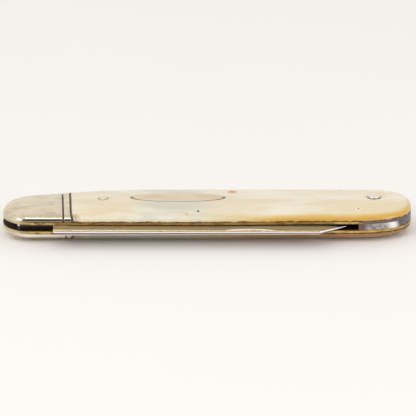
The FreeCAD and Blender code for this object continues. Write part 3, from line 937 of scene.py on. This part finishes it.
# %% Blade steel and painted reflection
m = metal_base(
    "blade steel", tone(214, 208, 200), tone(160, 150, 138), 4.0, (0.45, 0.8), 0.0, pits=0.35)
tang = 1 - m.ramp(m.x, TANG_STEP - 0.2, TANG_STEP - 0.05)
tang = tang * (1 - m.band(m.x, BLADE_X + 0.42, 0.3, 0.4) * (1 - m.ramp(m.y, 1.6, 2.2)))
mark = m.stored("rim")
spine = m.ramp(mark, 0.4, 0.9)
near_spine = 1 - m.ramp(m.y, 0.3, 2.5)
# painted reflection: stripes along the upper side near the spine, made less of a metal
painted_reflection = m.ramp(m.z, 0.12, 0.2) * near_spine * (1 - spine) * (0.5 + m.lines * 0.6)
reflection_stripes = m.mix(m.band(m.y, -1.45, 0.75, 0.7), tone(226, 190, 118), tone(158, 146, 104))
reflection_stripes = m.mix(m.band(m.y, -0.7, 0.4, 0.8) * (1 - m.ramp(m.x, 38, 52)), reflection_stripes, tone(214, 152, 74))
reflection_stripes = m.mix(1 - m.ramp(m.y, SPINE_Y + 0.35, SPINE_Y + 0.75), reflection_stripes, tone(244, 212, 140))
reflection_stripes = m.mix(m.ramp(m.clouds, 0.45, 0.75) * 0.5, reflection_stripes, tone(196, 170, 112))
m.colour = m.mix(painted_reflection * 0.9, m.colour, reflection_stripes)
m.bare = m.bare - painted_reflection * 0.7

# %% Painted highlight on the nail nick
# The crescent is painted pale with grey dashes inside, with a painted highlight along its arc and a
# dark line just outside it.
NICK_WALL = SPINE_Y + NICK_IN
run = ((m.x - NICK_X) / NICK_HALF) ** 2
past_arc = m.y - NICK_WALL - (1 - run) * NICK_WIDTH
past_wall = m.ramp(m.y, NICK_WALL - 0.05, NICK_WALL)
on_nick = (1 - m.ramp(run, 0.9, 1.0)) * m.ramp(m.z, 0.1, 0.2) * past_wall
in_nick = on_nick * (1 - m.ramp(past_arc, -0.08, 0.0))
dashes = m.ramp(m.noise(0.9, (2, 1, 1), detail=2), 0.46, 0.56)
m.colour = m.mix(in_nick * 0.8, m.colour, m.mix(dashes, tone(236, 232, 224), tone(140, 134, 134)))
m.colour = m.mix(on_nick * m.band(past_arc, -0.2, 0.22), m.colour, tone(252, 250, 246))
m.colour = m.mix(on_nick * m.band(past_arc, 0.12, 0.16) * 0.6, m.colour, tone(84, 72, 60))

# %% Painted highlight and reflections on the spine
# The upper corner has a painted highlight with a yellow painted reflection at its edge, a painted
# dark reflection runs along the middle, and the lower half is painted paler as a reflection; on the
# clip the lower half is painted darker as shade.
clip = m.ramp(m.x, CLIP_X - 0.4, CLIP_X + 0.4)
m.colour = m.mix(spine * m.ramp(mark, 1.9, 2.1) * 0.9, m.colour, tone(255, 252, 248))
m.colour = m.mix(spine * m.ramp(mark, 2.5, 2.68) * (1 - clip) * 0.85, m.colour, tone(232, 204, 140))
m.height = m.height * (1 - spine * 0.9)
painted_dark_line = m.band(mark + (m.clouds - 0.5) * 0.3, 1.78, 0.3, 0.4) * spine
m.colour = m.mix(spine * (1 - m.ramp(mark, 1.5, 1.7)) * (1 - clip) * 0.7, m.colour, tone(236, 226, 216))
m.colour = m.mix(spine * (1 - m.ramp(mark, 1.3, 1.9)) * clip * 0.8, m.colour, tone(124, 112, 104))
m.colour = m.mix(painted_dark_line * 0.95, m.colour, tone(70, 60, 70))
# the tang, deep in the slot, is painted near black as shade and tarnish; a band at its front corner is
# left out
m.colour = m.mix(tang * 0.94, m.colour, tone(38, 32, 24))
m.rough = m.rough + tang * 0.25
blade_steel = metal_finish(m, 0.14, 0.006)

# %% [markdown]
# ## Putting the finishes on
#
# A material does nothing until it is in an object's slot. One table says which piece gets which,
# for the new pieces and for the working model's own parts that still show.

# %% Put the finishes on
FINISHES = {
    "upper_bolster_shell": upper_silver, "lower_bolster_shell": lower_silver,
    "upper_pivot_end": upper_silver, "lower_pivot_end": lower_silver, "pivot_pin": pin_silver,
    "bolster_rivets": pin_silver, "upper_pearl": upper_pearl, "lower_pearl": lower_pearl,
    "oval_shield": shield_silver, "shield_pins": pin_silver, "spring_pin": pin_silver,
    "butt_pin_head": pin_silver, "butt_pin_foot": pin_silver,
    "upper_scale_pin_end": pin_silver, "lower_scale_pin_end": pin_silver,
    "upper_liner": liner_brass, "lower_liner": liner_brass, "backspring": spring_steel,
    "polished_blade": blade_steel,
}
for name, finish in FINISHES.items():
    piece = nodes[name] if name in nodes else bpy.data.objects[name]
    piece.data.materials.clear()
    piece.data.materials.append(finish)
print("finished", len(FINISHES), "pieces")

# %% [markdown]
# ## Floor, camera and light
#
# A pale table and a light tent. The tent is bright behind and above and darker on the side the
# viewer stands, which gives the polished shoulders something to reflect; a long lens from a
# little above keeps the layers straight.

# %% Floor
FLOOR = 3.0              # half its side, in metres
corners = [(-FLOOR, -FLOOR, 0), (FLOOR, -FLOOR, 0), (FLOOR, FLOOR, 0), (-FLOOR, FLOOR, 0)]
floor_mesh = bpy.data.meshes.new("floor")
floor_mesh.from_pydata(corners, [], [(0, 1, 2, 3)])
floor = bpy.data.objects.new("floor", floor_mesh)
bpy.context.scene.collection.objects.link(floor)
m = Material("pale table")
faint = m.ramp(m.noise(90.0), 0.3, 0.7)
floor_mesh.materials.append(m.finish({
    "Base Color": m.mix(faint, tone(248, 246, 244), tone(249, 247, 245)),
    "Roughness": 0.9, "Specular IOR Level": 0.1,
}))

# %% Camera
CAMERA_RISE = math.radians(21.0)
CAMERA_DISTANCE = 0.7078
LENS_MM, SENSOR_MM = 302.9, 36
KNIFE_MIDDLE = Vector((0.00014, 0.0, 0.0033))
AIM_ABOVE = 0.00172      # the camera aims this far above the knife's middle, in metres

camera_data = bpy.data.cameras.new("camera")
camera_data.lens = LENS_MM
camera_data.sensor_width = SENSOR_MM
camera = bpy.data.objects.new("camera", camera_data)
bpy.context.scene.collection.objects.link(camera)
up = Vector((0, math.sin(CAMERA_RISE), math.cos(CAMERA_RISE)))
back = Vector((0, -math.cos(CAMERA_RISE), math.sin(CAMERA_RISE)))
camera.location = KNIFE_MIDDLE + up * AIM_ABOVE + back * CAMERA_DISTANCE
camera.rotation_euler = (math.pi / 2 - CAMERA_RISE, 0, 0)
bpy.context.scene.camera = camera
print(f"camera {CAMERA_DISTANCE:.2f} m away, {math.degrees(CAMERA_RISE):.0f} degrees up")

# %% Light tent
TENT_WHITE, VIEWER_SHADE, TENT_STRENGTH = (1.0, 0.98, 0.96, 1), (0.24, 0.25, 0.22, 1), 0.89

world = bpy.data.worlds.new("light tent")
world.use_nodes = True
w = Finish(world.node_tree)
facing = w.node("TexCoord", {}, {}, out=0)
_, away_y, height = w.parts(facing)
shade = w.ramp(height, 0.12, 0.25) * (1 - w.ramp(height, 0.6, 0.75))
light = w.mix((1 - w.ramp(away_y, -0.85, -0.6)) * shade, TENT_WHITE, VIEWER_SHADE)
background = w.node("Background", {}, {0: light, 1: TENT_STRENGTH})
w.node("OutputWorld", {}, {0: background})
bpy.context.scene.world = world
bpy.context.scene.view_settings.view_transform = "Standard"
print("tent strength", TENT_STRENGTH)


# %% Softboxes
def softbox(name, place, width, height, power):
    """A light as a lit rectangle that faces the knife."""
    data = bpy.data.lights.new(name, "AREA")
    data.shape, data.size, data.size_y, data.energy = "RECTANGLE", width, height, power
    lamp = bpy.data.objects.new(name, data)
    lamp.location = place
    lamp.rotation_euler = (-Vector(place)).to_track_quat("-Z", "Y").to_euler()
    bpy.context.scene.collection.objects.link(lamp)


# the strip draws the bright line along the bolster's shoulder; the fills soften the shadow
softbox("strip light", (-0.05, -0.34, 0.56), 0.3, 0.035, 0.24)
softbox("left fill", (-0.5, -0.42, 0.32), 0.25, 0.25, 0.9)
softbox("right fill", (0.5, -0.42, 0.32), 0.25, 0.25, 0.7)
